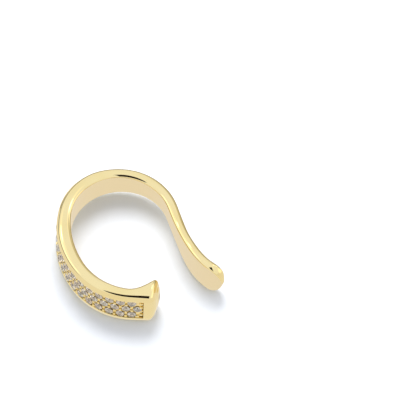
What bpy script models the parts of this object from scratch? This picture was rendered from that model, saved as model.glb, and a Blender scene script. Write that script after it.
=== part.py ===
"""Ear cuff: one cast band bent into an open loop, with a field of small round stones.

The cuff lies on its side. Z is the direction of the band's width, the plan of the bend is in XY,
the front runs along X at the bottom of the plan, and the origin is under the middle of the plan,
on the surface that the cuff lies on. Lengths are in metres, angles in degrees.
"""
import math

import bmesh
import bpy
import numpy as np
from mathutils import Vector

# Bend of the band, followed along its inner face from the front end to the tail's tip
FRONT_FLAT = 0.00275
FRONT_BEND_RADIUS = 0.00647
LOWER_BEND_RADIUS = 0.01025
SIDE_BEND_RADIUS = 0.00562
BACK_BEND_RADIUS = 0.00545
NECK_BEND_RADIUS = 0.0524
FLARE_BEND_RADIUS = 0.00884

# Turn of each bend, positive round the loop and negative where the tail swings outwards
FRONT_TURN = 57.6
LOWER_TURN = 37.3
SIDE_TURN = 57.0
BACK_TURN = 97.0
NECK_TURN = -5.8
FLARE_TURN = -34.6

# Band section
BAND_WIDTH = 0.00495
WALL = 0.0011
CREST_RISE = 0.00024
EDGE_RADIUS = 0.00016
EDGE_SHARE = 0.45
CREST_ROUND = 0.00012
CREST_FLAT = 0.000012
CREST_DROP_SHARE = 0.12

# Front end, which thickens into a lip towards the inside of the loop
LIP = 0.0017
LIP_LENGTH = 0.0033
END_LEAN = 8.0
END_ROUND = 0.00080
END_ROUND_SHARE = 0.9
RIM = 0.00130

# Tip of the tail
TIP_LENGTH = 0.0018
TIP_ROUND = 0.00032
TIP_ROUND_SHARE = 0.7

# Field of stones
STONE_DIAMETER = 0.00098
STONE_PITCH = 0.00125
ROW_SPACING = 0.00110
STONES_IN_OUTER_ROW = 14
TABLE_SHARE = 0.56
CROWN_HEIGHT = 0.00015
GIRDLE_HEIGHT = 0.00003
STONE_PROUD = 0.00003
FIELD_MARGIN = 0.00006
PAVILION_SHARE = 0.78
CULET_SHARE = 0.60
PAVILION_HEIGHT = 0.00008
STONE_SIDES = 8

# Setting plate under the stones, seated in the band's channel
PLATE_DEPTH = 0.00030
PLATE_THICKNESS = 0.00026
SEAT_CLEARANCE = 0.00005
CUTTER_RUN_OUT = 0.0010

# Beads that hold the stones
BEAD_DIAMETER = 0.00038
BEAD_HEIGHT = 0.00027
BEAD_SHOULDER_SHARE = 0.5
BEAD_TOP_SHARE = 0.5
RAIL_BEAD_INSET = 0.00023
END_BEAD_INSET = 0.00024
BEAD_SIDES = 6
END_BEADS = 4

# Fineness of the solids
STATION_STEP = 0.00056
END_STATIONS = 6
ARC_STEPS = 3
FIELD_STEPS_PER_PITCH = 2
LENGTH_STEP = 0.00007
SMOOTH_ANGLE = 35.0

# Band along the bend: at is a share of the bend's length, width of BAND_WIDTH, wall of WALL,
# rise of CREST_RISE, and inward of WALL, by which the inner face stands inside the bend's line
SECTION_COLUMNS = ("at", "width", "wall", "rise", "inward")
SECTIONS = (
    (0.00, 1.000, 0.840, 1.00, 0.05),
    (0.18, 1.000, 0.950, 1.00, 0.08),
    (0.30, 0.955, 1.080, 1.00, 0.09),
    (0.42, 0.845, 0.880, 1.10, 0.07),
    (0.50, 0.750, 0.860, 0.80, 0.13),
    (0.57, 0.700, 0.700, 0.30, 0.15),
    (0.63, 0.635, 0.700, 0.00, 0.19),
    (0.71, 0.595, 0.660, 0.00, 0.22),
    (0.79, 0.605, 0.580, 0.00, 0.26),
    (0.84, 0.730, 0.460, 0.00, 0.29),
    (0.89, 0.868, 0.520, 0.00, 0.25),
    (0.94, 0.900, 0.560, 0.00, 0.20),
    (1.00, 0.905, 0.780, 0.00, 0.07),
)


def bend_pieces():
    """Straights and arcs of the bend, as (length, turn in radians)."""
    arcs = (
        (FRONT_BEND_RADIUS, FRONT_TURN),
        (LOWER_BEND_RADIUS, LOWER_TURN),
        (SIDE_BEND_RADIUS, SIDE_TURN),
        (BACK_BEND_RADIUS, BACK_TURN),
        (NECK_BEND_RADIUS, NECK_TURN),
        (FLARE_BEND_RADIUS, FLARE_TURN),
    )
    pieces = [(FRONT_FLAT, 0.0)]
    for radius, turn in arcs:
        angle = math.radians(turn)
        pieces.append((radius * abs(angle), angle))
    return pieces


BEND = bend_pieces()
BEND_LENGTH = sum(length for length, _ in BEND)


def bend_at(distance):
    """Point of the inner line, its direction and its outward normal, at a distance from the front end."""
    x = 0.0
    y = 0.0
    heading = math.pi
    left = distance
    for index, (length, turn) in enumerate(BEND):
        last = index == len(BEND) - 1
        run = left if last else min(left, length)
        curvature = -turn / length
        if abs(curvature) < 1e-9:
            x += run * math.cos(heading)
            y += run * math.sin(heading)
        else:
            end = heading + curvature * run
            x += (math.sin(end) - math.sin(heading)) / curvature
            y -= (math.cos(end) - math.cos(heading)) / curvature
            heading = end
        left -= run
        if left <= 0.0:
            break
    along = Vector((math.cos(heading), math.sin(heading), 0.0))
    outward = Vector((-along.y, along.x, 0.0))
    return Vector((x, y, 0.0)), along, outward


def smooth_column(name):
    """Monotone cubic through one column of the section table."""
    at = np.array([row[0] for row in SECTIONS])
    value = np.array([row[SECTION_COLUMNS.index(name)] for row in SECTIONS])
    step = np.diff(at)
    slope = np.diff(value) / step
    tangent = np.zeros(len(at))
    for i in range(1, len(at) - 1):
        if slope[i - 1] * slope[i] > 0.0:
            tangent[i] = 2.0 * slope[i - 1] * slope[i] / (slope[i - 1] + slope[i])

    def value_at(share):
        i = int(np.clip(np.searchsorted(at, share) - 1, 0, len(step) - 1))
        t = (min(max(share, 0.0), 1.0) - at[i]) / step[i]
        rest = 1.0 - t
        ends = value[i] * (1.0 + 2.0 * t) * rest ** 2 + value[i + 1] * (3.0 - 2.0 * t) * t ** 2
        slopes = tangent[i] * t * rest ** 2 - tangent[i + 1] * t ** 2 * rest
        return float(ends + step[i] * slopes)

    return value_at


WIDTH_AT = smooth_column("width")
WALL_AT = smooth_column("wall")
RISE_AT = smooth_column("rise")
INWARD_AT = smooth_column("inward")


def half_width(distance):
    return 0.5 * BAND_WIDTH * WIDTH_AT(distance / BEND_LENGTH)


def wall_thickness(distance):
    return WALL * WALL_AT(distance / BEND_LENGTH)


def crest_height(distance):
    return wall_thickness(distance) + CREST_RISE * RISE_AT(distance / BEND_LENGTH)


def inward_growth(distance):
    return WALL * INWARD_AT(distance / BEND_LENGTH)


def lip_height(distance):
    return LIP * max(0.0, 1.0 - distance / LIP_LENGTH) ** 2


def round_inset(distance, radius):
    """How far a quarter-round end draws the outline in, at a distance from that end."""
    gap = max(0.0, radius - distance)
    return radius - math.sqrt(max(0.0, radius ** 2 - gap ** 2))


def place(distance, out, z, lean=0.0):
    """World point of a section's point: out from the inner line, z up, drawn back where the end leans."""
    point, along, outward = bend_at(distance)
    back = out * math.tan(math.radians(lean))
    return point + outward * out + along * back + Vector((0.0, 0.0, z))


def arc_points(centre, radius, start, stop, steps):
    points = []
    for i in range(steps + 1):
        angle = math.radians(start + (stop - start) * i / steps)
        points.append((centre[0] + radius * math.cos(angle), centre[1] + radius * math.sin(angle)))
    return points


FIELD_HALF = ROW_SPACING + 0.5 * STONE_DIAMETER + FIELD_MARGIN


def band_outline(distance, inset, narrow):
    """Closed outline (out, z) of the band, from the inner face round the upper edge and back below."""
    half = half_width(distance) * narrow - inset
    inner = inset - lip_height(distance) - inward_growth(distance)
    outer = wall_thickness(distance) - inset
    crest = crest_height(distance) - inset
    edge = min(EDGE_RADIUS, EDGE_SHARE * (outer - inner), EDGE_SHARE * half)
    crest_z = min(FIELD_HALF, half - edge - CREST_ROUND) if half > edge + 2.0 * CREST_ROUND else 0.5 * half
    upper = [(inner, 0.5 * (half - edge))]
    upper += arc_points((inner + edge, half - edge), edge, 180.0, 90.0, ARC_STEPS)
    upper += arc_points((outer - edge, half - edge), edge, 90.0, 15.0, ARC_STEPS)
    near_crest = crest_z + min(CREST_ROUND, 0.5 * (half - crest_z))
    upper.append((crest - CREST_DROP_SHARE * (crest - outer), near_crest))
    upper.append((crest, crest_z - CREST_FLAT))
    upper.append((crest, 0.5 * crest_z))
    lower = [(out, -z) for out, z in reversed(upper)]
    return [(inner, 0.0)] + upper + [(crest, 0.0)] + lower


def band_stations():
    """Distances along the bend, closer together in the rounded ends."""
    front = [END_ROUND * (1.0 - math.cos(0.5 * math.pi * i / END_STATIONS)) for i in range(END_STATIONS)]
    tip = [TIP_LENGTH * (1.0 - math.cos(0.5 * math.pi * i / END_STATIONS)) for i in range(1, END_STATIONS)]
    middle_start = END_ROUND
    middle_end = BEND_LENGTH - TIP_LENGTH
    count = max(2, round((middle_end - middle_start) / STATION_STEP))
    middle = [middle_start + (middle_end - middle_start) * i / count for i in range(count + 1)]
    return front + middle + [BEND_LENGTH - d for d in reversed(tip)]


def tip_share(distance):
    """Share of the band's width that is left in the rounded tip of the tail."""
    left = BEND_LENGTH - distance
    if left >= TIP_LENGTH:
        return 1.0
    return math.sqrt(max(0.0, 1.0 - (1.0 - left / TIP_LENGTH) ** 2))


def end_lean(distance):
    return END_LEAN * max(0.0, 1.0 - distance / LIP_LENGTH)


def band_section(distance):
    inset = END_ROUND_SHARE * round_inset(distance, END_ROUND)
    inset += TIP_ROUND_SHARE * round_inset(BEND_LENGTH - distance, TIP_ROUND)
    outline = band_outline(distance, inset, tip_share(distance))
    lean = end_lean(distance)
    return [place(distance, out, z, lean) for out, z in outline]


def loft(sections, name):
    """Closed mesh through sections with the same number of points, with flat ends."""
    mesh = bpy.data.meshes.new(name)
    bm = bmesh.new()
    rings = [[bm.verts.new(point) for point in section] for section in sections]
    count = len(rings[0])
    for first, second in zip(rings, rings[1:]):
        for i in range(count):
            j = (i + 1) % count
            bm.faces.new((first[i], first[j], second[j], second[i]))
    bm.faces.new(rings[0])
    bm.faces.new(rings[-1])
    bmesh.ops.recalc_face_normals(bm, faces=bm.faces)
    bm.to_mesh(mesh)
    bm.free()
    return mesh


def outer_lengths():
    """Distance along the bend against length measured along the stones' girdles."""
    count = int(BEND_LENGTH / LENGTH_STEP)
    distances = [i * LENGTH_STEP for i in range(count + 1)]
    points = [place(d, crest_height(d), 0.0) for d in distances]
    lengths = [0.0]
    for first, second in zip(points, points[1:]):
        lengths.append(lengths[-1] + (second - first).length)
    return distances, lengths


BEND_DISTANCES, CREST_LENGTHS = outer_lengths()
FIELD_START = RIM + (WALL + CREST_RISE) * math.tan(math.radians(END_LEAN))


def field_distance(length):
    """Distance along the bend at a length from the field's front edge, measured along the crest."""
    start = np.interp(FIELD_START, BEND_DISTANCES, CREST_LENGTHS)
    return float(np.interp(start + length, CREST_LENGTHS, BEND_DISTANCES))


FIELD_LENGTH = (STONES_IN_OUTER_ROW + 1) * STONE_PITCH


def strip_sections(start, stop, bottom, top, half):
    """Sections of a strip that follows the crest, between two depths measured from it."""
    count = round((stop - start) / STONE_PITCH * FIELD_STEPS_PER_PITCH)
    sections = []
    for i in range(count + 1):
        distance = field_distance(start + (stop - start) * i / count)
        crest = crest_height(distance)
        corners = ((crest - bottom, -half), (crest - top, -half), (crest - top, half), (crest - bottom, half))
        sections.append([place(distance, out, z) for out, z in corners])
    return sections


def field_frame(length, across, depth):
    """Place and axes of a piece of the field: along the row, across it and outwards."""
    distance = field_distance(length)
    _, along, outward = bend_at(distance)
    origin = place(distance, crest_height(distance) - depth, across)
    return origin, along, Vector((0.0, 0.0, 1.0)), outward


def turned_piece(bm, frame, profile, sides, phase=0.0):
    """Adds a closed turned solid: profile is (radius, height) from the bottom to the top."""
    origin, along, across, outward = frame
    rings = []
    for radius, height in profile:
        ring = []
        for i in range(sides):
            angle = 2.0 * math.pi * (i + phase) / sides
            offset = along * (radius * math.cos(angle)) + across * (radius * math.sin(angle))
            ring.append(bm.verts.new(origin + offset + outward * height))
        rings.append(ring)
    faces = [bm.faces.new(rings[0]), bm.faces.new(rings[-1])]
    for low, high in zip(rings, rings[1:]):
        for i in range(sides):
            j = (i + 1) % sides
            faces.append(bm.faces.new((low[i], low[j], high[j], high[i])))
    bmesh.ops.recalc_face_normals(bm, faces=faces)


def stone_places():
    """Lengths and offsets of the stones: the middle row is half a pitch ahead of the outer rows."""
    places = []
    for i in range(STONES_IN_OUTER_ROW):
        places.append(((i + 1) * STONE_PITCH, ROW_SPACING))
        places.append(((i + 1) * STONE_PITCH, -ROW_SPACING))
    for i in range(STONES_IN_OUTER_ROW + 1):
        places.append(((i + 0.5) * STONE_PITCH, 0.0))
    return places


def bead_places():
    """Beads sit where three stones meet, beside the rails between stones, and in a row at each end."""
    places = []
    for i in range(STONES_IN_OUTER_ROW):
        for side in (1.0, -1.0):
            places.append(((i + 1) * STONE_PITCH, side * ROW_SPACING / 3.0))
            if i:
                places.append(((i + 0.5) * STONE_PITCH, side * ROW_SPACING * 2.0 / 3.0))
                places.append(((i + 0.5) * STONE_PITCH, side * (FIELD_HALF - RAIL_BEAD_INSET)))
    spacing = 2.0 * (FIELD_HALF - 0.5 * BEAD_DIAMETER) / END_BEADS
    for end in (0.0, 1.0):
        length = end * FIELD_LENGTH + (1.0 - 2.0 * end) * END_BEAD_INSET
        for i in range(END_BEADS):
            places.append((length, spacing * (i - 0.5 * (END_BEADS - 1))))
    return places


PLATE_INSIDE = PLATE_DEPTH + 0.5 * PLATE_THICKNESS


def stone_profile():
    girdle = 0.5 * STONE_DIAMETER
    top = PLATE_INSIDE + STONE_PROUD
    crown = top - CROWN_HEIGHT
    below = crown - GIRDLE_HEIGHT
    return (
        (CULET_SHARE * girdle, 0.0),
        (PAVILION_SHARE * girdle, PAVILION_HEIGHT),
        (girdle, below),
        (girdle, crown),
        (TABLE_SHARE * girdle, top),
    )


def bead_profile():
    radius = 0.5 * BEAD_DIAMETER
    base = 0.5 * PLATE_THICKNESS
    return (
        (radius, 0.0),
        (radius, base + BEAD_SHOULDER_SHARE * BEAD_HEIGHT),
        (BEAD_TOP_SHARE * radius, base + BEAD_HEIGHT),
    )


def repeated_mesh(name, places, profile, sides):
    mesh = bpy.data.meshes.new(name)
    bm = bmesh.new()
    for length, across in places:
        turned_piece(bm, field_frame(length, across, PLATE_INSIDE), profile, sides, 0.5)
    bm.to_mesh(mesh)
    bm.free()
    return mesh


def material(name, colour, roughness, metallic):
    made = bpy.data.materials.new(name)
    made.use_nodes = True
    shader = made.node_tree.nodes["Principled BSDF"]
    shader.inputs["Base Color"].default_value = (*colour, 1.0)
    shader.inputs["Roughness"].default_value = roughness
    shader.inputs["Metallic"].default_value = metallic
    return made


def add_object(name, mesh, collection, surface=None):
    made = bpy.data.objects.new(name, mesh)
    collection.objects.link(made)
    if surface:
        mesh.materials.append(surface)
    return made


def boolean(target, tool, operation):
    made = target.modifiers.new(f"{operation.lower()}_{tool.name}", "BOOLEAN")
    made.operation = operation
    made.solver = "EXACT"
    made.object = tool
    tool.hide_render = True
    tool.display_type = "WIRE"


def shade_round(mesh, angle):
    mesh.shade_smooth()
    mesh.set_sharp_from_angle(angle=math.radians(angle))


def centre_on_origin(meshes, solids):
    """Moves every mesh so that the box round the solids stands centred on the origin."""
    corners = np.array([tuple(vertex.co) for mesh in solids for vertex in mesh.vertices])
    low = corners.min(axis=0)
    high = corners.max(axis=0)
    shift = -Vector((0.5 * (low[0] + high[0]), 0.5 * (low[1] + high[1]), low[2]))
    for mesh in meshes:
        for vertex in mesh.vertices:
            vertex.co += shift


def build():
    for existing in list(bpy.data.objects):
        bpy.data.objects.remove(existing, do_unlink=True)
    parts = bpy.data.collections.new("ear_cuff")
    cutters = bpy.data.collections.new("cutters")
    for collection in (parts, cutters):
        bpy.context.scene.collection.children.link(collection)
    gold = material("gold", (0.93, 0.76, 0.42), 0.12, 1.0)
    stones = material("clear_stones", (0.88, 0.88, 0.90), 0.05, 0.0)

    band = loft([band_section(distance) for distance in band_stations()], "cuff_body")
    channel_depth = PLATE_DEPTH + PLATE_THICKNESS + SEAT_CLEARANCE
    channel = loft(
        strip_sections(0.0, FIELD_LENGTH, channel_depth, -CUTTER_RUN_OUT, FIELD_HALF), "channel_cutter"
    )
    plate = loft(
        strip_sections(
            SEAT_CLEARANCE,
            FIELD_LENGTH - SEAT_CLEARANCE,
            PLATE_DEPTH + PLATE_THICKNESS,
            PLATE_DEPTH,
            FIELD_HALF - SEAT_CLEARANCE,
        ),
        "pave_field",
    )
    stone_mesh = repeated_mesh("stones", stone_places(), stone_profile(), STONE_SIDES)
    bead_mesh = repeated_mesh("beads", bead_places(), bead_profile(), BEAD_SIDES)
    solids = (band, plate, stone_mesh, bead_mesh)
    centre_on_origin(solids + (channel,), solids)

    cuff_body = add_object("cuff_body", band, parts, gold)
    boolean(cuff_body, add_object("channel_cutter", channel, cutters), "DIFFERENCE")
    shade_round(band, SMOOTH_ANGLE)
    pave_field = add_object("pave_field", plate, parts, stones)
    boolean(pave_field, add_object("stones", stone_mesh, cutters), "UNION")
    boolean(pave_field, add_object("beads", bead_mesh, cutters), "UNION")


build()
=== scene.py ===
import math

import bmesh
import bpy
import numpy as np
from mathutils import Matrix, Vector


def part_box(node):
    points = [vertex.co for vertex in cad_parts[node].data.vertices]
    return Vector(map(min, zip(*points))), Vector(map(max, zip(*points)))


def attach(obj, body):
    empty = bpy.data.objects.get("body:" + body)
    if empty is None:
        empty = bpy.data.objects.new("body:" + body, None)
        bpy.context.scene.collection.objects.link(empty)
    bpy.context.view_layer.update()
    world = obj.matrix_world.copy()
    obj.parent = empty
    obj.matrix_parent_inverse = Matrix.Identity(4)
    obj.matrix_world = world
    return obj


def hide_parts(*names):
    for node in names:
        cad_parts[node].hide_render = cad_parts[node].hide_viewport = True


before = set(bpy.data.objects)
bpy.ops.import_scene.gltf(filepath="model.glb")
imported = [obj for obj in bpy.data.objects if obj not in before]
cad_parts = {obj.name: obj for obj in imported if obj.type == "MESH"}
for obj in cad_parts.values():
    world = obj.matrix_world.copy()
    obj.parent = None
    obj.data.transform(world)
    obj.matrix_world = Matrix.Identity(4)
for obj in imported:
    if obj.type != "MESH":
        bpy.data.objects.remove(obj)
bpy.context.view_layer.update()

# Sizes are in metres and angles in degrees. Sizes that the solids have too keep their names.

# Bend of the band along its inner face, from the front end to the tail's tip
FRONT_FLAT = 0.00275
BEND_ARCS = (
    (0.00647, 57.6),
    (0.01025, 37.3),
    (0.00562, 57.0),
    (0.00545, 97.0),
    (0.0524, -5.8),
    (0.00884, -34.6),
)
BEND_GRID = 0.00002
BEND_EASE = 0.0014

# Band section: EDGE_ALLOWANCE is added to both faces of the wall, whose edges are rounded further
# here than in the solid, and the rails take RAIL_LIMIT of the flat half at the most
BAND_WIDTH = 0.00495
WALL = 0.0011
CREST_RISE = 0.00024
CAP_DEPTH = 0.00032
CAP_SHARE_OF_WALL = 0.42
CAP_SHARE_OF_HALF = 0.6
CAP_EXPONENT = 2.25
CAP_STEPS = 26
EDGE_ALLOWANCE = 0.00010
RAIL_LIMIT = 0.9

# Band along the bend: at is a share of the bend's length, width of BAND_WIDTH, wall of WALL,
# rise of CREST_RISE, and inward of WALL, by which the inner face stands inside the bend's line
SECTIONS = (
    (0.00, 1.000, 0.840, 1.00, 0.02),
    (0.18, 1.000, 0.950, 1.00, 0.05),
    (0.30, 0.955, 1.080, 1.00, 0.06),
    (0.42, 0.845, 0.880, 1.10, 0.04),
    (0.50, 0.750, 0.860, 0.80, 0.09),
    (0.57, 0.700, 0.680, 0.30, 0.11),
    (0.63, 0.635, 0.680, 0.00, 0.15),
    (0.71, 0.595, 0.640, 0.00, 0.18),
    (0.79, 0.605, 0.555, 0.00, 0.22),
    (0.84, 0.730, 0.440, 0.00, 0.25),
    (0.89, 0.868, 0.500, 0.00, 0.21),
    (0.94, 0.900, 0.540, 0.00, 0.17),
    (1.00, 0.905, 0.780, 0.00, 0.05),
)
SECTION_COLUMNS = ("at", "width", "wall", "rise", "inward")
SECTION_EASE = 0.0018

# Front end and tail tip
LIP = 0.00205
LIP_ROUND = 0.00110
LIP_LENGTH = 0.0033
END_LEAN = 8.0
END_ROUND = 0.00080
END_ROUND_SHARE = 0.9
END_CUSHION = 0.00010
END_BULGE = 0.00045
BULGE_LENGTH = 0.00120
RIM = 0.00130
TIP_LENGTH = 0.0018
TIP_ROUND = 0.00060
TIP_ROUND_SHARE = 0.9
LEAST_HALF = 0.00005
TIP_DOME_LENGTH = 0.0017
TIP_DOME_DEPTH = 0.00042

# Channel and stones
STONE_DIAMETER = 0.00098
STONE_PITCH = 0.00125
ROW_SPACING = 0.00110
STONES_IN_OUTER_ROW = 14
TABLE_SHARE = 0.56
CROWN_HEIGHT = 0.00015
GIRDLE_HEIGHT = 0.00003
PAVILION_DEPTH = 0.00040
STONE_PROUD = 0.00003
FIELD_MARGIN = 0.00006
CHANNEL_DEPTH = 0.00061
CHANNEL_SHARE = 0.965
WEB_DEPTH = 0.00020
WEB_THICKNESS = 0.00026
SEAT_RADIUS = 0.00046
BEAD_DIAMETER = 0.00038
BEAD_TOP_DEPTH = 0.00002
RAIL_BEAD_INSET = 0.00023
END_BEAD_INSET = 0.00024
END_BEADS = 4
CORNER_BEAD_INSET = 0.00064
PIT_RADIUS = 0.00012
PIT_INSET = 0.00010
SIDES = (1, -1)

# Photograph's view: pixels per metre, the pixel that the origin falls on, and the camera's angles
PIXELS_PER_METRE = 9400.0
PHOTO_SIDE = 400.0
ORIGIN_PIXEL = (139.96, 255.81)
VIEW_ELEVATION = 59.0
VIEW_TURN = 0.273
VIEW_ROLL = 3.0
LENS = 1000.0
SENSOR = 36.0
CLIPS = (0.01, 10.0)


def eased(values, length):
    """Moving average over a length, so that a value along the band changes without a kink."""
    reach = max(1, int(0.5 * length / BEND_GRID))
    kernel = np.ones(2 * reach + 1) / (2 * reach + 1)
    return np.convolve(np.pad(values, reach, mode="edge"), kernel, mode="valid")


def running_sum(values):
    """Integral of sampled values along the bend, by trapezoids."""
    return np.concatenate(([0.0], np.cumsum(0.5 * (values[1:] + values[:-1])) * BEND_GRID))


def section_column(name, share):
    """Monotone cubic through one column of the section table, at shares of the bend's length."""
    at = np.array([row[0] for row in SECTIONS])
    value = np.array([row[SECTION_COLUMNS.index(name)] for row in SECTIONS])
    step = np.diff(at)
    slope = np.diff(value) / step
    tangent = np.zeros(len(at))
    for i in range(1, len(at) - 1):
        if slope[i - 1] * slope[i] > 0.0:
            tangent[i] = 2.0 * slope[i - 1] * slope[i] / (slope[i - 1] + slope[i])
    i = np.clip(np.searchsorted(at, share) - 1, 0, len(step) - 1)
    t = (share - at[i]) / step[i]
    rest = 1.0 - t
    ends = value[i] * (1.0 + 2.0 * t) * rest ** 2 + value[i + 1] * (3.0 - 2.0 * t) * t ** 2
    return ends + step[i] * (tangent[i] * t * rest ** 2 - tangent[i + 1] * t ** 2 * rest)


class Bend:
    """The band's inner line and its sizes, sampled finely from the front end to the tail's tip."""

    def __init__(self):
        pieces = [(FRONT_FLAT, 0.0)]
        pieces += [(radius * math.radians(abs(turn)), math.radians(turn)) for radius, turn in BEND_ARCS]
        self.length = sum(length for length, _ in pieces)
        self.grid = np.arange(int(self.length / BEND_GRID) + 2) * BEND_GRID
        stops = np.cumsum([length for length, _ in pieces])
        curvature = np.array([turn / length for length, turn in pieces])
        which = np.clip(np.searchsorted(stops, self.grid), 0, len(pieces) - 1)
        self.heading = math.pi - running_sum(eased(curvature[which], BEND_EASE))
        self.x = running_sum(np.cos(self.heading))
        self.y = running_sum(np.sin(self.heading))
        share = np.minimum(self.grid / self.length, 1.0)
        self.half = eased(0.5 * BAND_WIDTH * section_column("width", share), SECTION_EASE)
        self.wall = eased(WALL * section_column("wall", share), SECTION_EASE)
        self.rise = eased(CREST_RISE * section_column("rise", share), SECTION_EASE)
        self.inward = eased(WALL * section_column("inward", share), SECTION_EASE)
        across = self.wall + self.rise
        self.crest_x = self.x - np.sin(self.heading) * across
        self.crest_y = self.y + np.cos(self.heading) * across
        steps = np.hypot(np.diff(self.crest_x), np.diff(self.crest_y))
        self.crest_length = np.concatenate(([0.0], np.cumsum(steps)))

    def read(self, values, distance):
        return np.interp(distance, self.grid, values)

    def axes(self, distance):
        """Point of the inner line and the unit vectors along it and outwards."""
        heading = self.read(self.heading, distance)
        point = Vector((self.read(self.x, distance), self.read(self.y, distance), 0.0))
        along = Vector((math.cos(heading), math.sin(heading), 0.0))
        return point, along, Vector((-along.y, along.x, 0.0))


BEND = Bend()
FIELD_HALF = ROW_SPACING + 0.5 * STONE_DIAMETER + FIELD_MARGIN
FIELD_LENGTH = (STONES_IN_OUTER_ROW + 1) * STONE_PITCH
FIELD_START = RIM + (WALL + CREST_RISE) * math.tan(math.radians(END_LEAN))
END_SPACING = 2.0 * (FIELD_HALF - 0.5 * BEAD_DIAMETER) / END_BEADS


def field_distance(length):
    """Distance along the bend at a length from the field's front edge, measured along the crest."""
    start = np.interp(FIELD_START, BEND.grid, BEND.crest_length)
    return float(np.interp(start + length, BEND.crest_length, BEND.grid))


def lean_at(distance):
    return math.tan(math.radians(END_LEAN * max(0.0, 1.0 - distance / LIP_LENGTH)))


def fading(distance, reach):
    """One at the front end, falling to nothing at a reach from it."""
    return min(1.0, max(0.0, 1.0 - distance / reach))


def quarter_round(distance, radius):
    """How far a rounded end draws the section in, at a distance from that end."""
    gap = min(radius, max(0.0, radius - distance))
    return radius - math.sqrt(radius ** 2 - gap ** 2)


# Stations of the loft: distance, further inset of the section and the channel's depth there
END_STEPS = 14
STATION_STEP = 0.00011
CHANNEL_EDGE = 0.000008
EDGES_KEPT_CLEAR = 3.0
CUSHION_INSETS = (0.00050, 0.00036, 0.00022, 0.00010)


def band_stations():
    lean_reach = (WALL + CREST_RISE) * lean_at(FIELD_START)
    channel_start = FIELD_START - lean_reach
    channel_end = field_distance(FIELD_LENGTH)
    turns = [0.5 * math.pi * i / END_STEPS for i in range(END_STEPS)]
    distances = [END_ROUND * (1.0 - math.cos(turn)) for turn in turns]
    count = round((BEND.length - END_ROUND - TIP_LENGTH) / STATION_STEP)
    run = BEND.length - END_ROUND - TIP_LENGTH
    distances += [END_ROUND + run * i / count for i in range(count)]
    distances += [BEND.length - TIP_LENGTH * (1.0 - math.cos(turn)) for turn in reversed(turns[1:])]
    edges = (channel_start, channel_start + CHANNEL_EDGE, channel_end - CHANNEL_EDGE, channel_end)
    least = EDGES_KEPT_CLEAR * CHANNEL_EDGE
    distances = [d for d in distances if all(abs(d - edge) > least for edge in edges)]
    deepest = CUSHION_INSETS[0]
    stations = [(-END_CUSHION * (1.0 - (1.0 - inset / deepest) ** 2), inset, 0.0) for inset in CUSHION_INSETS]
    for distance in sorted(distances + list(edges)):
        inside = channel_start + 0.5 * CHANNEL_EDGE < distance < channel_end - 0.5 * CHANNEL_EDGE
        stations.append((distance, 0.0, CHANNEL_DEPTH if inside else 0.0))
    return stations


class Wire:
    """A node's output, which takes part in sums so that node maths reads as an expression."""

    def __init__(self, board, socket):
        self.board = board
        self.socket = socket

    def out(self, name):
        return Wire(self.board, self.socket.node.outputs[name])

    def maths(self, operation, *others):
        vectors = any(isinstance(o, Wire) and o.socket.type == "VECTOR" for o in (self, *others))
        kind = "ShaderNodeVectorMath" if vectors else "ShaderNodeMath"
        return self.board.node(kind, {"operation": operation}, dict(enumerate((self, *others))))

    def __add__(self, other):
        return self.maths("ADD", other)

    def __radd__(self, other):
        return self.maths("ADD", other)

    def __sub__(self, other):
        return self.maths("SUBTRACT", other)

    def __rsub__(self, other):
        return (self * -1.0) + other

    def __mul__(self, other):
        return self.maths("MULTIPLY", other)

    def __rmul__(self, other):
        return self.maths("MULTIPLY", other)

    def scaled(self, factor):
        """This vector times a number."""
        return self.board.node("ShaderNodeVectorMath", {"operation": "SCALE"}, {0: self, "Scale": factor})


class Board:
    """A node tree that is being wired."""

    def __init__(self, tree):
        self.tree = tree
        tree.nodes.clear()

    def node(self, kind, settings=None, inputs=None):
        """Adds a node: its settings first, then the values or links of its sockets."""
        made = self.tree.nodes.new(kind)
        for name, value in (settings or {}).items():
            if name == "stops":
                ramp = made.color_ramp
                while len(ramp.elements) < len(value):
                    ramp.elements.new(1.0)
                for element, (position, colour) in zip(ramp.elements, value):
                    element.position = position
                    element.color = (*colour, 1.0)
            else:
                setattr(made, name, value)
        for name, value in (inputs or {}).items():
            if isinstance(value, Wire):
                self.tree.links.new(value.socket, made.inputs[name])
            else:
                made.inputs[name].default_value = value
        return Wire(self, next(iter(made.outputs), None))


def geometry_board(name, sizes):
    """Geometry Nodes tree with a geometry input, named size inputs and a geometry output."""
    tree = bpy.data.node_groups.new(name, "GeometryNodeTree")
    face = tree.interface
    face.new_socket("Geometry", in_out="OUTPUT", socket_type="NodeSocketGeometry")
    face.new_socket("Geometry", in_out="INPUT", socket_type="NodeSocketGeometry")
    identifiers = {}
    for label, kind in sizes:
        identifiers[label] = face.new_socket(label, in_out="INPUT", socket_type=kind).identifier
    return Board(tree), identifiers


def end_board(board, geometry, material):
    """Ends a tree in real geometry that wears one material."""
    real = board.node("GeometryNodeRealizeInstances", None, {"Geometry": geometry})
    dressed = board.node("GeometryNodeSetMaterial", None, {"Geometry": real, "Material": material})
    board.node("NodeGroupOutput", None, {"Geometry": dressed})


def attribute(board, name, kind="FLOAT"):
    return board.node("GeometryNodeInputNamedAttribute", {"data_type": kind}, {"Name": name})


def object_with(name, mesh):
    made = bpy.data.objects.new(name, mesh)
    bpy.context.scene.collection.objects.link(made)
    return made


def grown(guide, board, identifiers, values, name):
    """Plain mesh object that a guide's Geometry Nodes tree makes; the guide is removed."""
    modifier = guide.modifiers.new(board.tree.name, "NODES")
    modifier.node_group = board.tree
    for label, value in values.items():
        modifier[identifiers[label]] = value
    depsgraph = bpy.context.evaluated_depsgraph_get()
    mesh = bpy.data.meshes.new_from_object(guide.evaluated_get(depsgraph), depsgraph=depsgraph)
    mesh.name = name
    bpy.data.objects.remove(guide, do_unlink=True)
    return object_with(name, mesh)


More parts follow.
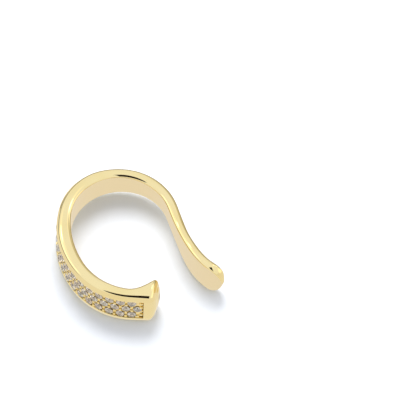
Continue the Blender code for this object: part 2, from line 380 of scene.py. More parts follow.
def guide_mesh(name, points, edges, columns):
    """Mesh of bare points and edges that carries named values for a tree to read."""
    mesh = bpy.data.meshes.new(name)
    mesh.from_pydata([tuple(point) for point in points], edges, [])
    for label, values in columns.items():
        kind = "FLOAT_VECTOR" if np.ndim(values) == 2 else "FLOAT"
        layer = mesh.attributes.new(label, kind, "POINT")
        layer.data.foreach_set("vector" if kind == "FLOAT_VECTOR" else "value", np.ravel(values))
    return mesh


PROFILE_COLUMNS = ("inner", "outer", "crest", "floor", "half", "cap", "rail")
BRUSHED_EDGE_STEPS = 4
INNER_STEPS = (0.25, 0.5, 0.75, 0.92)
BEVEL_STEPS = (0.2, 0.4, 0.6, 0.8, 0.92)
BEVEL_BULGE = 0.35

# Half of the channel: shares of its depth and of its half width, from the crest down to the middle
CHANNEL_ROWS = ((0, 1), (0.02, 0.985), (0.08, 0.975), (1, CHANNEL_SHARE), (1, 0.6), (1, 0.2), (1, 0))
# Share of the painted shade, partly residue, that the channel's floor takes
CHANNEL_SHADE = 0.5


def half_profile():
    """Section from the inner face's middle to the channel's middle, as shares of named sizes."""
    rows = [(1, 0, 0, 0, 0, 0, 0)]
    rows += [(1, 0, 0, 0, t, -t, 0) for t in INNER_STEPS]
    for i in range(CAP_STEPS + 1):
        angle = math.pi * (1.0 - i / CAP_STEPS)
        power = 2.0 / CAP_EXPONENT
        x = math.copysign(abs(math.cos(angle)) ** power, math.cos(angle))
        z = abs(math.sin(angle)) ** power
        rows.append((0.5 - 0.5 * x, 0.5 + 0.5 * x, 0, 0, 1, z - 1, 0))
    for t in BEVEL_STEPS:
        up = t + BEVEL_BULGE * t * (1.0 - t)
        rows.append((0, 1 - up, up, 0, 1 - t, t - 1, t))
    return rows + [(0, 0, 1, depth, 0, 0, side) for depth, side in CHANNEL_ROWS]


def profile_guide():
    upper = half_profile()
    mirrored = [(*row[:4], *(-share for share in row[4:])) for row in reversed(upper[1:-1])]
    rows = np.array(upper + mirrored, dtype=float)
    ring = 2.0 * math.pi * np.arange(len(rows)) / len(rows)
    points = np.stack((np.cos(ring), np.sin(ring), np.zeros(len(rows))), axis=1) * WALL
    edges = [(i, (i + 1) % len(rows)) for i in range(len(rows))]
    columns = {f"share_{name}": rows[:, i] for i, name in enumerate(PROFILE_COLUMNS)}
    last = len(INNER_STEPS) + 1
    ring_place = np.arange(len(rows))
    from_middle = np.minimum(ring_place, len(rows) - ring_place)
    columns["brushed"] = np.clip(1.0 - (from_middle - last) / BRUSHED_EDGE_STEPS, 0.0, 1.0)
    return object_with("profile_guide", guide_mesh("profile_guide", points, edges, columns))


def band_guide():
    """The bend's stations, each with its place, its axes and the sizes of its section."""
    columns = {name: [] for name in ("size_point", "size_along", "size_outward", "size_lean", "size_bulge")}
    columns.update({f"size_{name}": [] for name in PROFILE_COLUMNS})
    points = []
    for distance, extra, floor in band_stations():
        point, along, outward = BEND.axes(distance)
        point = point + along * min(distance, 0.0)
        left = max(BEND.length - distance, 0.0)
        inset = extra + END_ROUND_SHARE * quarter_round(distance, END_ROUND)
        inset += TIP_ROUND_SHARE * quarter_round(left, TIP_ROUND)
        narrow = math.sqrt(max(0.0, 1.0 - max(0.0, 1.0 - left / TIP_LENGTH) ** 2))
        half = max(BEND.read(BEND.half, distance) * narrow - inset, LEAST_HALF)
        inner = extra + quarter_round(distance, LIP_ROUND)
        inner += TIP_DOME_DEPTH * quarter_round(left, TIP_DOME_LENGTH) / TIP_DOME_LENGTH
        inner -= LIP * fading(distance, LIP_LENGTH) ** 2 + BEND.read(BEND.inward, distance)
        inner -= EDGE_ALLOWANCE
        outer = BEND.read(BEND.wall, distance) - inset + EDGE_ALLOWANCE
        rise = max(BEND.read(BEND.rise, distance) - EDGE_ALLOWANCE, 0.0)
        cap = min(CAP_DEPTH, CAP_SHARE_OF_WALL * (outer - inner), CAP_SHARE_OF_HALF * half)
        rail = min(FIELD_HALF, RAIL_LIMIT * (half - cap))
        sizes = (inner, outer, outer + rise, floor, half, cap, rail)
        for name, size in zip(PROFILE_COLUMNS, sizes):
            columns[f"size_{name}"].append(size)
        columns["size_point"].append(tuple(point))
        columns["size_along"].append(tuple(along))
        columns["size_outward"].append(tuple(outward))
        columns["size_lean"].append(lean_at(distance))
        full = BEND.read(BEND.half, distance)
        columns["size_bulge"].append(END_BULGE * fading(distance, BULGE_LENGTH) ** 2 / full ** 2)
        points.append(point)
    columns = {name: np.array(values) for name, values in columns.items()}
    edges = [(i, i + 1) for i in range(len(points) - 1)]
    return object_with("band_guide", guide_mesh("band_guide", points, edges, columns))


def band_board():
    """Loft of the band: the profile swept along the bend, each point set from the shares and the sizes."""
    sizes = (("Profile", "NodeSocketObject"), ("Metal", "NodeSocketMaterial"))
    board, identifiers = geometry_board("band_loft", sizes)
    given = board.node("NodeGroupInput")
    bend = board.node("GeometryNodeMeshToCurve", None, {0: given})
    shape = board.node("GeometryNodeObjectInfo", None, {"Object": given.out("Profile")})
    ring = board.node("GeometryNodeMeshToCurve", None, {0: shape.out("Geometry")})
    swept = board.node(
        "GeometryNodeCurveToMesh", None, {"Curve": bend, "Profile Curve": ring, "Fill Caps": True}
    )
    terms = {n: attribute(board, f"share_{n}") * attribute(board, f"size_{n}") for n in PROFILE_COLUMNS}
    out = terms["inner"] + terms["outer"] + terms["crest"] - terms["floor"]
    up = terms["half"] + terms["cap"] + terms["rail"]
    place = attribute(board, "size_point", "FLOAT_VECTOR")
    place = place + attribute(board, "size_outward", "FLOAT_VECTOR").scaled(out)
    forward = out * attribute(board, "size_lean") + up * up * attribute(board, "size_bulge")
    place = place + attribute(board, "size_along", "FLOAT_VECTOR").scaled(forward)
    place = place + board.node("ShaderNodeCombineXYZ", None, {"Z": up})
    shaped = board.node("GeometryNodeSetPosition", None, {"Geometry": swept, "Position": place})
    # Painted shade, partly residue, stored by depth in the channel
    shaded = board.node(
        "GeometryNodeStoreNamedAttribute",
        {"data_type": "FLOAT", "domain": "POINT"},
        {"Geometry": shaped, "Name": "recess", "Value": terms["floor"] * (CHANNEL_SHADE / CHANNEL_DEPTH)},
    )
    end_board(board, shaded, given.out("Metal"))
    return board, identifiers


SEAM = 0.0000001
CREASE_ANGLE = 40.0


def drop_columns(mesh):
    """Removes the values that a guide carried for its tree."""
    for label in [layer.name for layer in mesh.attributes if layer.name.startswith(("share_", "size_"))]:
        mesh.attributes.remove(mesh.attributes[label])


def tidy_mesh(mesh):
    """Merges doubles, turns the faces outwards and shades round surfaces smooth."""
    bm = bmesh.new()
    bm.from_mesh(mesh)
    bmesh.ops.remove_doubles(bm, verts=bm.verts, dist=SEAM)
    bmesh.ops.recalc_face_normals(bm, faces=bm.faces)
    bm.to_mesh(mesh)
    bm.free()
    drop_columns(mesh)
    mesh.shade_smooth()
    mesh.set_sharp_from_angle(angle=math.radians(CREASE_ANGLE))


def make_band(metal):
    profile = profile_guide()
    board, identifiers = band_board()
    band = grown(band_guide(), board, identifiers, {"Profile": profile, "Metal": metal}, "polished_band")
    bpy.data.objects.remove(profile, do_unlink=True)
    tidy_mesh(band.data)
    return band


def field_axes(length, across, depth):
    """Place on the field and its axes along the row and outwards, measured from the rails' crest."""
    distance = field_distance(length)
    point, along, outward = BEND.axes(distance)
    crest = BEND.read(BEND.wall, distance) + BEND.read(BEND.rise, distance)
    return point + outward * (crest - depth) + Vector((0.0, 0.0, across)), along, outward


def stone_places():
    """Lengths and offsets of the stones: the middle row is half a pitch ahead of the outer rows."""
    pitches = range(1, STONES_IN_OUTER_ROW + 1)
    outer = [(i * STONE_PITCH, side * ROW_SPACING) for i in pitches for side in SIDES]
    return outer + [((i + 0.5) * STONE_PITCH, 0.0) for i in range(STONES_IN_OUTER_ROW + 1)]


def bead_places():
    """Beads where three stones meet, and beside the rails between stones."""
    places = []
    for i in range(STONES_IN_OUTER_ROW):
        for side in SIDES:
            places.append(((i + 1) * STONE_PITCH, side * ROW_SPACING / 3.0))
            if i:
                places.append(((i + 0.5) * STONE_PITCH, side * ROW_SPACING * 2.0 / 3.0))
                places.append(((i + 0.5) * STONE_PITCH, side * (FIELD_HALF - RAIL_BEAD_INSET)))
    return places


def end_bead_places():
    """A row of beads at each end of the channel, and one by each of its corners."""
    steps = [i - 0.5 * (END_BEADS - 1) for i in range(END_BEADS)]
    lengths = (END_BEAD_INSET, FIELD_LENGTH - END_BEAD_INSET)
    places = [(length, END_SPACING * step) for length in lengths for step in steps]
    corners = (CORNER_BEAD_INSET, FIELD_LENGTH - CORNER_BEAD_INSET)
    return places + [(length, side * (FIELD_HALF - RAIL_BEAD_INSET)) for length in corners for side in SIDES]


def end_pit_places():
    """Pits between the end beads, against the channel's end walls, made dark with painted shade."""
    steps = [i - 0.5 * END_BEADS for i in range(END_BEADS + 1)]
    lengths = (PIT_INSET, FIELD_LENGTH - PIT_INSET)
    return [(length, END_SPACING * step) for length in lengths for step in steps]


def scatter_guide(name, places, depth):
    placed = [field_axes(length, across, depth) for length, across in places]
    columns = {
        "size_along": np.array([tuple(along) for _, along, _ in placed]),
        "size_outward": np.array([tuple(outward) for _, _, outward in placed]),
    }
    return object_with(name, guide_mesh(name, [point for point, _, _ in placed], [], columns))


def scatter_board(name):
    """Copies of one piece on the field's points, stood along the outward axis and turned by chance."""
    sizes = (
        ("Piece", "NodeSocketObject"),
        ("Surface", "NodeSocketMaterial"),
        ("Stretch", "NodeSocketVector"),
        ("Turn", "NodeSocketFloat"),
        ("Tilt", "NodeSocketFloat"),
        ("Spread", "NodeSocketFloat"),
        ("Seed", "NodeSocketInt"),
    )
    board, identifiers = geometry_board(name, sizes)
    given = board.node("NodeGroupInput")
    piece = board.node("GeometryNodeObjectInfo", None, {"Object": given.out("Piece")})

    def chance(low, high, shift):
        seed = board.node("ShaderNodeMath", {"operation": "ADD"}, {0: given.out("Seed"), 1: float(shift)})
        limits = {2: low, 3: high, "Seed": seed}
        return board.node("FunctionNodeRandomValue", {"data_type": "FLOAT"}, limits).out(1)

    stood = board.node(
        "FunctionNodeAlignRotationToVector",
        {"axis": "Z"},
        {"Vector": attribute(board, "size_outward", "FLOAT_VECTOR")},
    )
    stood = board.node(
        "FunctionNodeAlignRotationToVector",
        {"axis": "X", "pivot_axis": "Z"},
        {"Rotation": stood, "Vector": attribute(board, "size_along", "FLOAT_VECTOR")},
    )
    tilt = given.out("Tilt")
    turn = given.out("Turn")
    lean = board.node(
        "ShaderNodeCombineXYZ",
        None,
        {
            "X": chance(-1.0, 1.0, 1) * tilt,
            "Y": chance(-1.0, 1.0, 2) * tilt,
            "Z": chance(0.0, 1.0, 3) * turn,
        },
    )
    turned = board.node(
        "FunctionNodeRotateRotation", {"rotation_space": "LOCAL"}, {"Rotation": stood, "Rotate By": lean}
    )
    spread = given.out("Spread")
    size = given.out("Stretch").scaled(1.0 + chance(-1.0, 1.0, 4) * spread)
    copies = board.node(
        "GeometryNodeInstanceOnPoints",
        None,
        {"Points": given, "Instance": piece.out("Geometry"), "Rotation": turned, "Scale": size},
    )
    end_board(board, copies, given.out("Surface"))
    return board, identifiers


FULL_TURN = 2.0 * math.pi


def ring_points(count, radius, height, shift=0.0):
    turns = [FULL_TURN * (i + shift) / count for i in range(count)]
    return [Vector((radius * math.cos(turn), radius * math.sin(turn), height)) for turn in turns]


def join_rings(bm, first, second):
    """Four-sided faces between two rings of as many points."""
    for i in range(len(first)):
        j = (i + 1) % len(first)
        bm.faces.new((first[i], first[j], second[j], second[i]))


def closed_mesh(name, bm):
    """New mesh of a closed shape, its faces turned outwards."""
    bmesh.ops.recalc_face_normals(bm, faces=bm.faces)
    mesh = bpy.data.meshes.new(name)
    bm.to_mesh(mesh)
    bm.free()
    return mesh


FACET_FOLD = 8
GIRDLE_SIDES = 2 * FACET_FOLD
KITE_SHARE = 0.80
LOWER_SHARE = 0.26


def brilliant_mesh():
    """Round brilliant with eight stars and eight kites round its table, its girdle's top at zero."""
    girdle = 0.5 * STONE_DIAMETER
    quarter = math.cos(FULL_TURN / GIRDLE_SIDES)
    kite_height = CROWN_HEIGHT * (1.0 - KITE_SHARE * quarter) / (1.0 - TABLE_SHARE)
    lower_height = -GIRDLE_HEIGHT - PAVILION_DEPTH * (1.0 - LOWER_SHARE * quarter)
    table = ring_points(FACET_FOLD, TABLE_SHARE * girdle, CROWN_HEIGHT)
    kites = ring_points(FACET_FOLD, KITE_SHARE * girdle, kite_height, 0.5)
    top = ring_points(GIRDLE_SIDES, girdle, 0.0)
    bottom = ring_points(GIRDLE_SIDES, girdle, -GIRDLE_HEIGHT)
    lowers = ring_points(FACET_FOLD, LOWER_SHARE * girdle, lower_height, 0.5)
    culet = Vector((0.0, 0.0, -GIRDLE_HEIGHT - PAVILION_DEPTH))
    bm = bmesh.new()
    rings = [[bm.verts.new(p) for p in points] for points in (table, kites, top, bottom, lowers, [culet])]
    table, kites, top, bottom, lowers, (culet,) = rings
    bm.faces.new(table)
    for i in range(FACET_FOLD):
        after = (i + 1) % FACET_FOLD
        g, h, k = 2 * i, 2 * i + 1, (2 * i + 2) % GIRDLE_SIDES
        bm.faces.new((table[i], kites[i], table[after]))
        bm.faces.new((table[i], kites[i - 1], top[g], kites[i]))
        bm.faces.new((kites[i], top[g], top[h]))
        bm.faces.new((kites[i], top[h], top[k]))
        bm.faces.new((top[g], bottom[g], bottom[h], top[h]))
        bm.faces.new((top[h], bottom[h], bottom[k], top[k]))
        bm.faces.new((lowers[i], bottom[h], bottom[g]))
        bm.faces.new((lowers[i], bottom[k], bottom[h]))
        bm.faces.new((culet, lowers[i - 1], bottom[g], lowers[i]))
    return closed_mesh("brilliant", bm)


BEAD_SEGMENTS = 14
BEAD_RINGS = 5
BEAD_DOME_SHARE = 0.75
BEAD_CREASE = 60.0


def bead_mesh():
    """Raised bead: a short stem under a round dome, with its top at zero."""
    radius = 0.5 * BEAD_DIAMETER
    stem = WEB_DEPTH + 0.5 * WEB_THICKNESS - BEAD_TOP_DEPTH
    dome = BEAD_DOME_SHARE * radius
    profile = [(radius, -stem), (radius, -dome)]
    for i in range(1, BEAD_RINGS):
        turn = 0.25 * FULL_TURN * i / BEAD_RINGS
        profile.append((radius * math.cos(turn), dome * (math.sin(turn) - 1.0)))
    bm = bmesh.new()
    rings = [[bm.verts.new(p) for p in ring_points(BEAD_SEGMENTS, r, z)] for r, z in profile]
    for low, high in zip(rings, rings[1:]):
        join_rings(bm, low, high)
    top = bm.verts.new((0.0, 0.0, 0.0))
    for i in range(BEAD_SEGMENTS):
        bm.faces.new((rings[-1][i], rings[-1][(i + 1) % BEAD_SEGMENTS], top))
    bm.faces.new(rings[0])
    mesh = closed_mesh("bead", bm)
    mesh.shade_smooth()
    mesh.set_sharp_from_angle(angle=math.radians(BEAD_CREASE))
    return mesh


def scattered(name, mesh, places, depth, surface, values):
    piece = object_with(f"{name}_one", mesh)
    board, identifiers = scatter_board(f"{name}_scatter")
    given = {"Piece": piece, "Surface": surface, **values}
    made = grown(scatter_guide(f"{name}_guide", places, depth), board, identifiers, given, name)
    bpy.data.objects.remove(piece, do_unlink=True)
    return made


SEAT_SIDES = 20
WEB_STEPS_PER_PITCH = 8
WEB_GAP = 0.00002
WEB_FLOOR = WEB_DEPTH + WEB_THICKNESS
DRILL_DEPTHS = (0.5 * WEB_DEPTH, 2.0 * WEB_DEPTH + WEB_THICKNESS)
# Reach of the darkest painted shade round each end pit
PIT_SHADE_REACH = 1.1 * PIT_RADIUS


def web_strip():
    """Strip of metal that follows the channel, a little clear of its walls."""
    half = CHANNEL_SHARE * FIELD_HALF - WEB_GAP
    corners = ((WEB_FLOOR, -half), (WEB_DEPTH, -half), (WEB_DEPTH, half), (WEB_FLOOR, half))
    count = round(FIELD_LENGTH / STONE_PITCH) * WEB_STEPS_PER_PITCH
    bm = bmesh.new()
    rings = []
    for i in range(count + 1):
        length = WEB_GAP + (FIELD_LENGTH - 2.0 * WEB_GAP) * i / count
        rings.append([bm.verts.new(field_axes(length, across, depth)[0]) for depth, across in corners])
    for first, second in zip(rings, rings[1:]):
        join_rings(bm, first, second)
    bm.faces.new(rings[0])
    bm.faces.new(rings[-1])
    return closed_mesh("web_strip", bm)


def seat_drill():
    """A round plug for the seat under every stone and for every end pit."""
    holes = [(*place, SEAT_RADIUS) for place in stone_places()]
    holes += [(*place, PIT_RADIUS) for place in end_pit_places()]
    bm = bmesh.new()
    for length, across, radius in holes:
        rings = []
        for depth in DRILL_DEPTHS:
            place, along, outward = field_axes(length, across, depth)
            upright = Matrix((along, Vector((0.0, 0.0, 1.0)), outward)).transposed()
            rings.append([bm.verts.new(place + upright @ p) for p in ring_points(SEAT_SIDES, radius, 0.0)])
        join_rings(bm, *rings)
        for ring in rings:
            bm.faces.new(ring)
    return closed_mesh("seat_drill", bm)


def paint_web_shade(mesh):
    """Stores how much painted shade, partly standing for residue, each point takes: more towards the floor,
    and most of all in the end pits.
    """
    crest = np.stack((BEND.crest_x, BEND.crest_y), axis=1)
    depths = np.array([np.min(np.hypot(*(crest - (v.co.x, v.co.y)).T)) for v in mesh.vertices])
    depths = np.clip((depths - WEB_DEPTH) / WEB_THICKNESS, 0.0, 1.0)
    pits = np.array([field_axes(*place, WEB_FLOOR)[0] for place in end_pit_places()])
    gaps = np.array([np.min(np.linalg.norm(pits - v.co, axis=1)) for v in mesh.vertices])
    layer = mesh.attributes.new("recess", "FLOAT", "POINT")
    layer.data.foreach_set("value", depths * np.where(gaps < PIT_SHADE_REACH, 1.0, CHANNEL_SHADE))


def make_web(metal):
    """Metal between the stones, with a round seat under every stone."""
    strip = object_with("web_strip", web_strip())
    driller = object_with("seat_drill", seat_drill())
    cut = strip.modifiers.new("seats", "BOOLEAN")
    cut.operation = "DIFFERENCE"
    cut.solver = "EXACT"
    cut.use_self = True
    cut.object = driller
    depsgraph = bpy.context.evaluated_depsgraph_get()
    drilled = bpy.data.meshes.new_from_object(strip.evaluated_get(depsgraph), depsgraph=depsgraph)
    for used in (strip, driller):
        bpy.data.objects.remove(used, do_unlink=True)
    drilled.name = "stone_web"
    drilled.materials.clear()
    drilled.materials.append(metal)
    tidy_mesh(drilled)
    paint_web_shade(drilled)
    return object_with("stone_web", drilled)


# Finishes: a grain is a noise's scale and detail, ripple and scratch are a bump's strength and
# height, and a gold has its name, its tone, its deeper tone, its roughness and its haze
# Painted shade in the recesses, partly residue: its colour, the share it takes at the deepest and the
# roughness it adds
SHADE_AND_RESIDUE_COLOUR = (0.06, 0.035, 0.02, 1.0)
SHADE_AND_RESIDUE_SHARE = 0.9
SHADE_AND_RESIDUE_ROUGHNESS = 0.25
SATIN_COLOUR = (0.94, 0.79, 0.49, 1.0)
SATIN_ROUGHNESS = 0.26
TONE_GRAIN = (260.0, 2.0)
HAZE_GRAIN = (5200.0, 3.0)
RIPPLE_GRAIN = (420.0, 1.0)
RIPPLE = (0.05, 0.00006)
SCRATCH = (0.04, 0.000004)
TONE_PLACES = (0.35, 0.62)
GOLDS = (
    ("polished_gold", (0.95, 0.80, 0.42), (0.93, 0.77, 0.37), 0.035, 0.04),
    ("setting_gold", (0.97, 0.80, 0.40), (0.95, 0.75, 0.33), 0.10, 0.10),
)
STONE_TONES = ((0.35, (1.0, 0.80, 0.59)), (0.65, (1.0, 0.97, 0.82)))
STONE_GRAIN = (1400.0, 1.0)
STONE_ROUGHNESS = 0.01
STONE_HAZE = 0.03
STONE_INDEX = 1.95
STONE_CLEARNESS = 0.78
FLOOR_TONES = ((0.3, (0.84, 0.878, 0.935)), (0.7, (0.86, 0.898, 0.955)))
FLOOR_GRAIN = (900.0, 2.0)
FLOOR_ROUGHNESS = 0.6
FLOOR_HALF = 1.5


def surface(name):
    made = bpy.data.materials.new(name)
    made.use_nodes = True
    return made, Board(made.node_tree)


def noise(board, grain):
    """Noise that keeps its place on the piece."""
    scale, detail = grain
    where = board.node("ShaderNodeTexCoord").out("Object")
    return board.node("ShaderNodeTexNoise", None, {"Vector": where, "Scale": scale, "Detail": detail})


def mixed(board, share, first, second):
    """Colour that goes from the first to the second with the share."""
    return board.node("ShaderNodeMix", {"data_type": "RGBA"}, {0: share, 6: first, 7: second}).out(2)


def gold_surface(name, colour, deep, roughness, haze):
    """Polished yellow gold, satin on the inner face, and darkened in the recesses with painted shade that
    partly stands for residue.
    """
    made, board = surface(name)
    brushed = board.node("ShaderNodeAttribute", {"attribute_name": "brushed"}).out("Fac")
    recess = board.node("ShaderNodeAttribute", {"attribute_name": "recess"}).out("Fac")
    drift = noise(board, TONE_GRAIN)
    fine = noise(board, HAZE_GRAIN)
    wide = noise(board, RIPPLE_GRAIN)
    stops = tuple(zip(TONE_PLACES, (deep, colour)))
    tone = board.node("ShaderNodeValToRGB", {"stops": stops}, {"Fac": drift})
    satin = mixed(board, brushed, tone, SATIN_COLOUR)
    # Painted shade, partly residue, darkens the recesses
    darkened = mixed(board, recess * SHADE_AND_RESIDUE_SHARE, satin, SHADE_AND_RESIDUE_COLOUR)
    rough = roughness + fine * haze + brushed * SATIN_ROUGHNESS + recess * SHADE_AND_RESIDUE_ROUGHNESS
    ripple = {"Strength": RIPPLE[0], "Distance": RIPPLE[1], "Height": wide}
    scratch = {"Strength": SCRATCH[0], "Distance": SCRATCH[1], "Height": fine}
    scratch["Normal"] = board.node("ShaderNodeBump", None, ripple)
    normal = board.node("ShaderNodeBump", None, scratch)
    shader = board.node(
        "ShaderNodeBsdfPrincipled",
        None,
        {"Base Color": darkened, "Metallic": 1.0, "Roughness": rough, "Normal": normal},
    )
    board.node("ShaderNodeOutputMaterial", None, {"Surface": shader})
    return made


def stone_surface():
    """Clear faceted stone with a faint warm tint and a trace of polishing haze."""
    made, board = surface("clear_stone")
    drift = noise(board, STONE_GRAIN)
    tone = board.node("ShaderNodeValToRGB", {"stops": STONE_TONES}, {"Fac": drift})
    rough = STONE_ROUGHNESS + drift * STONE_HAZE
    shader = board.node(
        "ShaderNodeBsdfPrincipled",
        None,
        {"Base Color": tone, "Roughness": rough, "IOR": STONE_INDEX, "Transmission Weight": STONE_CLEARNESS},
    )
    board.node("ShaderNodeOutputMaterial", None, {"Surface": shader})
    return made


def floor_surface():
    made, board = surface("pale_floor")
    tone = board.node("ShaderNodeValToRGB", {"stops": FLOOR_TONES}, {"Fac": noise(board, FLOOR_GRAIN)})
    shader = board.node("ShaderNodeBsdfPrincipled", None, {"Base Color": tone, "Roughness": FLOOR_ROUGHNESS})
    board.node("ShaderNodeOutputMaterial", None, {"Surface": shader})
    return made


def make_floor():
    mesh = bpy.data.meshes.new("table_top")
    bm = bmesh.new()
    bmesh.ops.create_grid(bm, x_segments=1, y_segments=1, size=FLOOR_HALF)
    bm.to_mesh(mesh)
    bm.free()
    mesh.materials.append(floor_surface())
    floor = object_with("table_top", mesh)
    floor.visible_glossy = False


# Studio: colours of the dome by height, then the dark horizon, the windows and the opening. A
# window has its side, its height, the angles at which it is full and gone, and its colour.
DOME_STOPS = (
    (0.0, (0.71, 0.69, 0.67)),
    (0.44, (0.69, 0.66, 0.63)),
    (0.55, (0.64, 0.63, 0.62)),
    (0.64, (0.74, 0.75, 0.79)),
    (1.0, (0.76, 0.775, 0.82)),
)
HORIZON_SIDE = -20.0
HORIZON_RISE = 0.02
HORIZON_REACH = 0.24
HORIZON_SOFTNESS = 0.8
HORIZON_SPAN = (-0.1, 0.25)
HORIZON_COLOUR = (0.11, 0.10, 0.06, 1.0)
DOME_STRENGTH = 1.25
WINDOWS = (
    (-40.0, 48.0, 5.0, 15.0, (0.90, 0.89, 0.89)),
    (40.0, 48.0, 5.0, 15.0, (0.90, 0.89, 0.89)),
    (55.0, 29.0, 5.0, 12.0, (1.10, 1.08, 1.03)),
    (30.0, 27.0, 8.0, 19.0, (0.50, 0.46, 0.39)),
    (82.0, 8.0, 10.0, 24.0, (1.05, 1.00, 0.92)),
    (-64.0, 38.0, 7.0, 14.0, (1.25, 1.22, 1.12)),
    (-80.0, 44.0, 7.0, 14.0, (1.25, 1.22, 1.12)),
    (-40.0, 48.0, 2.5, 5.0, (2.6, 2.55, 2.4)),
    (40.0, 48.0, 2.5, 5.0, (2.6, 2.55, 2.4)),
)
OPENING_START = 12.0
OPENING_REACH = (36.0, 28.0)
OPENING_RIM = (-0.04, 0.08)
OPENING_EDGE = (-0.015, 0.015)
OPENING_FRONT = (0.0, 0.1)
OPENING_COLOUR = (0.015, 0.010, 0.006, 1.0)
KEY_PLACE = (-0.0215, 0.1250, 0.2154)
KEY_SIZE = 0.140
KEY_POWER = 0.46
KEY_COLOUR = (1.0, 0.98, 0.96)
FILL_PLACE = (0.0, 0.0, 0.30)
FILL_SIZE = 0.25
FILL_POWER = 0.01
FILL_COLOUR = (0.94, 0.97, 1.0)


def heaven(side, height):
    """Direction at an angle from +Y towards +X and a height above the floor."""
    a, h = math.radians(side), math.radians(height)
    return Vector((math.cos(h) * math.sin(a), math.cos(h) * math.cos(a), math.sin(h)))


def view_axes():
    """The camera's right, up and backward unit vectors."""
    turn, rise, roll = (math.radians(a) for a in (VIEW_TURN, VIEW_ELEVATION, VIEW_ROLL))
    right = Vector((math.cos(turn), -math.sin(turn), 0.0))
    ahead = Vector((math.sin(turn), math.cos(turn), 0.0))
    up = ahead * math.sin(rise) + Vector((0.0, 0.0, math.cos(rise)))
    rolled_right = right * math.cos(roll) + up * math.sin(roll)
    rolled_up = up * math.cos(roll) - right * math.sin(roll)
    return rolled_right, rolled_up, rolled_right.cross(rolled_up)


def make_camera():
    right, up, back = view_axes()
    data = bpy.data.cameras.new("photo_view")
    data.lens = LENS
    data.sensor_width = SENSOR
    distance = PHOTO_SIDE / PIXELS_PER_METRE * LENS / SENSOR
    aside = (0.5 * PHOTO_SIDE - ORIGIN_PIXEL[0]) / PIXELS_PER_METRE
    above = (ORIGIN_PIXEL[1] - 0.5 * PHOTO_SIDE) / PIXELS_PER_METRE
    middle = Vector((0.0, 0.0, 0.5 * BAND_WIDTH))
    aim = right * aside + up * above + back * middle.dot(back)
    camera = object_with("photo_view", data)
    turned = Matrix((right, up, back)).transposed().to_4x4()
    camera.matrix_world = Matrix.Translation(aim + back * distance) @ turned
    data.clip_start, data.clip_end = CLIPS
    bpy.context.scene.camera = camera


def make_light(name, place, size, power, colour):
    data = bpy.data.lights.new(name, "AREA")
    data.shape = "DISK"
    data.size = size
    data.energy = power
    data.color = colour
    light = object_with(name, data)
    turned = Vector(place).to_track_quat("Z", "Y").to_matrix().to_4x4()
    light.matrix_world = Matrix.Translation(Vector(place)) @ turned
    light.visible_glossy = False


def make_world():
    """Bright studio dome with a dark horizon, windows, and the dark opening that the camera looks through."""
    world = bpy.data.worlds.new("studio")
    world.use_nodes = True
    bpy.context.scene.world = world
    board = Board(world.node_tree)
    towards = board.node("ShaderNodeTexCoord").out("Generated")

    def part_along(axis):
        dot = board.node("ShaderNodeVectorMath", {"operation": "DOT_PRODUCT"}, {0: towards, 1: tuple(axis)})
        return dot.out("Value")

    def risen(value, low, high):
        limits = {"Value": value, "From Min": low, "From Max": high}
        return board.node("ShaderNodeMapRange", {"interpolation_type": "SMOOTHSTEP"}, limits)

    glow = board.node("ShaderNodeValToRGB", {"stops": DOME_STOPS}, {"Fac": 0.5 + part_along((0.0, 0.0, 0.5))})
    height = (part_along((0.0, 0.0, 1.0)) - HORIZON_RISE) * (1.0 / HORIZON_REACH)
    dusk = risen(1.0 - height * height, 0.0, HORIZON_SOFTNESS)
    dusk = dusk * risen(part_along(heaven(HORIZON_SIDE, 0.0)), *HORIZON_SPAN)
    glow = mixed(board, dusk, glow, HORIZON_COLOUR)
    for side, rise, inner, outer, colour in WINDOWS:
        near, far = (math.cos(math.radians(angle)) for angle in (inner, outer))
        glow = mixed(board, risen(part_along(heaven(side, rise)), far, near), glow, (*colour, 1.0))
    back = view_axes()[2]
    aside = Vector((0.0, 0.0, 1.0)).cross(back).normalized()
    turn = math.radians(OPENING_START)
    middle = back * math.cos(turn) + aside * math.sin(turn)
    sideways = back * math.sin(turn) - aside * math.cos(turn)
    wide, high = (math.sin(math.radians(angle)) for angle in OPENING_REACH)
    a = part_along(sideways)
    b = part_along(middle.cross(sideways))
    oval = 1.0 - (a * a * wide ** -2 + b * b * high ** -2)
    shade = risen(oval, *OPENING_RIM) * risen(a, *OPENING_EDGE) * risen(part_along(middle), *OPENING_FRONT)
    glow = mixed(board, shade, glow, OPENING_COLOUR)
    studio = board.node("ShaderNodeBackground", None, {"Color": glow, "Strength": DOME_STRENGTH})
    board.node("ShaderNodeOutputWorld", None, {"Surface": studio})


def centre_of(low, high):
    return Vector((0.5 * (low[0] + high[0]), 0.5 * (low[1] + high[1]), low[2]))


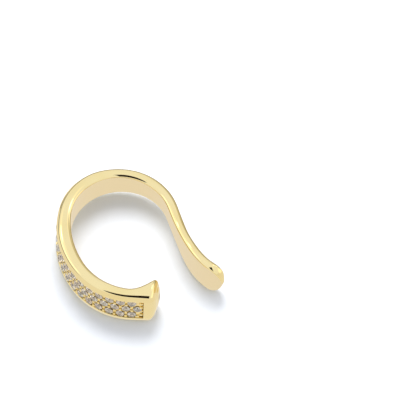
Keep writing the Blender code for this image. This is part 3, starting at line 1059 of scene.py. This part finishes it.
def settle(pieces, band):
    """Moves the pieces' meshes so that the band lies where its solid does."""
    corners = np.array([tuple(v.co) for v in band.data.vertices])
    shift = centre_of(*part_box("cuff_body")) - centre_of(corners.min(axis=0), corners.max(axis=0))
    for piece in pieces:
        piece.data.transform(Matrix.Translation(shift))


# Chance in the scatter: seed, tilt in radians and share of the size
BEAD_SEED = 3
BEAD_TILT = 0.12
BEAD_SPREAD = 0.06
END_BEAD_STRETCH = 1.25
STONE_SEED = 11
STONE_TILT = 0.05
STONE_SPREAD = 0.01


def make_beads(metal):
    """The beads over the field and, stretched and all alike, those at its ends."""
    bead = bead_mesh()
    still = {"Turn": 0.0, "Tilt": 0.0, "Spread": 0.0, "Seed": BEAD_SEED}
    loose = {**still, "Stretch": (1.0, 1.0, 1.0), "Tilt": BEAD_TILT, "Spread": BEAD_SPREAD}
    alike = {**still, "Stretch": (END_BEAD_STRETCH, 1.0, 1.0)}
    return (
        scattered("setting_beads", bead, bead_places(), BEAD_TOP_DEPTH, metal, loose),
        scattered("end_beads", bead, end_bead_places(), BEAD_TOP_DEPTH, metal, alike),
    )


def make_stones(clear):
    """The stones, each turned by chance, with their tables a little proud of the crest."""
    chance = {"Turn": FULL_TURN, "Tilt": STONE_TILT, "Spread": STONE_SPREAD, "Seed": STONE_SEED}
    chance["Stretch"] = (1.0, 1.0, 1.0)
    depth = CROWN_HEIGHT - STONE_PROUD
    return scattered("clear_stones", brilliant_mesh(), stone_places(), depth, clear, chance)


def dress():
    gold, setting_gold = (gold_surface(*row) for row in GOLDS)
    clear = stone_surface()
    band = make_band(gold)
    web = make_web(setting_gold)
    beads, end_beads = make_beads(setting_gold)
    stones = make_stones(clear)
    for part in (beads, end_beads, stones):
        drop_columns(part.data)
    pieces = (band, web, beads, end_beads, stones)
    settle(pieces, band)
    for piece in pieces:
        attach(piece, "root")
    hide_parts("cuff_body")
    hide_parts("pave_field")


make_camera()
make_world()
make_floor()
make_light("high_softbox", KEY_PLACE, KEY_SIZE, KEY_POWER, KEY_COLOUR)
make_light("overhead_fill", FILL_PLACE, FILL_SIZE, FILL_POWER, FILL_COLOUR)
bpy.context.scene.view_settings.view_transform = "Standard"
dress()
